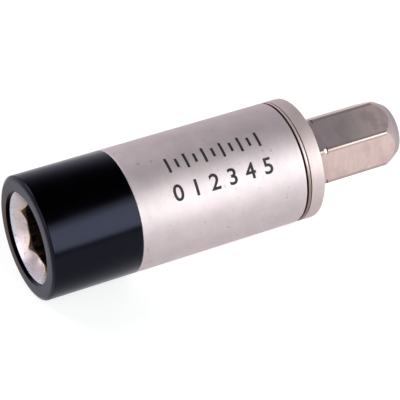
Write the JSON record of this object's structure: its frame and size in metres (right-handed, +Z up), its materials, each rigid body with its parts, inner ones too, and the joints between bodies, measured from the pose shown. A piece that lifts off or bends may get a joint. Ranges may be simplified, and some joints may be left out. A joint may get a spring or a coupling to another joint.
{
  "type": "torque adapter",
  "caption": "Slim round torque limiting adapter: hex bit socket in a black collar, nickelled barrel with a hidden slip clutch, flange and male drive hex.",
  "frame": {"origin": "centre of the bit socket's mouth, in the plane of the collar's face", "axes": "+X along the adapter's axis towards the tip of the drive hex, +Z up as it lies on its side, +Y across"},
  "size_m": [0.0392, 0.012, 0.012],
  "materials": {
    "black_collar": "glossy black anodised",
    "socket_nickel": "satin nickel plated",
    "barrel_nickel": "satin nickel plated",
    "drive_nickel": "nickel plated over milled flats",
    "magnet": "bright nickel plated",
    "hard_steel": "ground and hardened",
    "black_steel": "oiled black",
    "spring_steel": "drawn wire",
    "ball_steel": "polished",
    "bronze": "sintered bearing bronze",
    "seal_rubber": "matt black"
  },
  "bodies": {
    "housing": {"collar": "black_collar", "bit_socket": "socket_nickel", "bit_magnet": "magnet", "barrel": "barrel_nickel", "detent_plate": "hard_steel", "plate_dowels": "hard_steel", "pilot_bush": "bronze", "journal_bush": "bronze", "housing_race": "hard_steel", "thrust_washer": "bronze"},
    "drive": {"drive_shaft": "drive_nickel", "drive_keys": "hard_steel", "shaft_race": "hard_steel", "retaining_ring": "black_steel", "adjusting_nut": "black_steel", "nut_lock_screw": "black_steel", "spring_seat": "hard_steel", "main_spring": "spring_steel", "dust_seal": "seal_rubber"},
    "clutch": {"cam_washer": "hard_steel", "cam_ring": "hard_steel", "clutch_balls": "ball_steel"}
  },
  "joints": [
    {"name": "drive_spin", "type": "hinge", "parent": "housing", "child": "drive", "pos_m": [0, 0, 0], "axis": [1, 0, 0], "continuous": true},
    {"name": "clutch_slide", "type": "slide", "parent": "drive", "child": "clutch", "axis": [1, 0, 0], "range_m": [0, 0.00045], "stiffness_N_per_m": 6000, "deforming": ["main_spring"]}
  ]
}
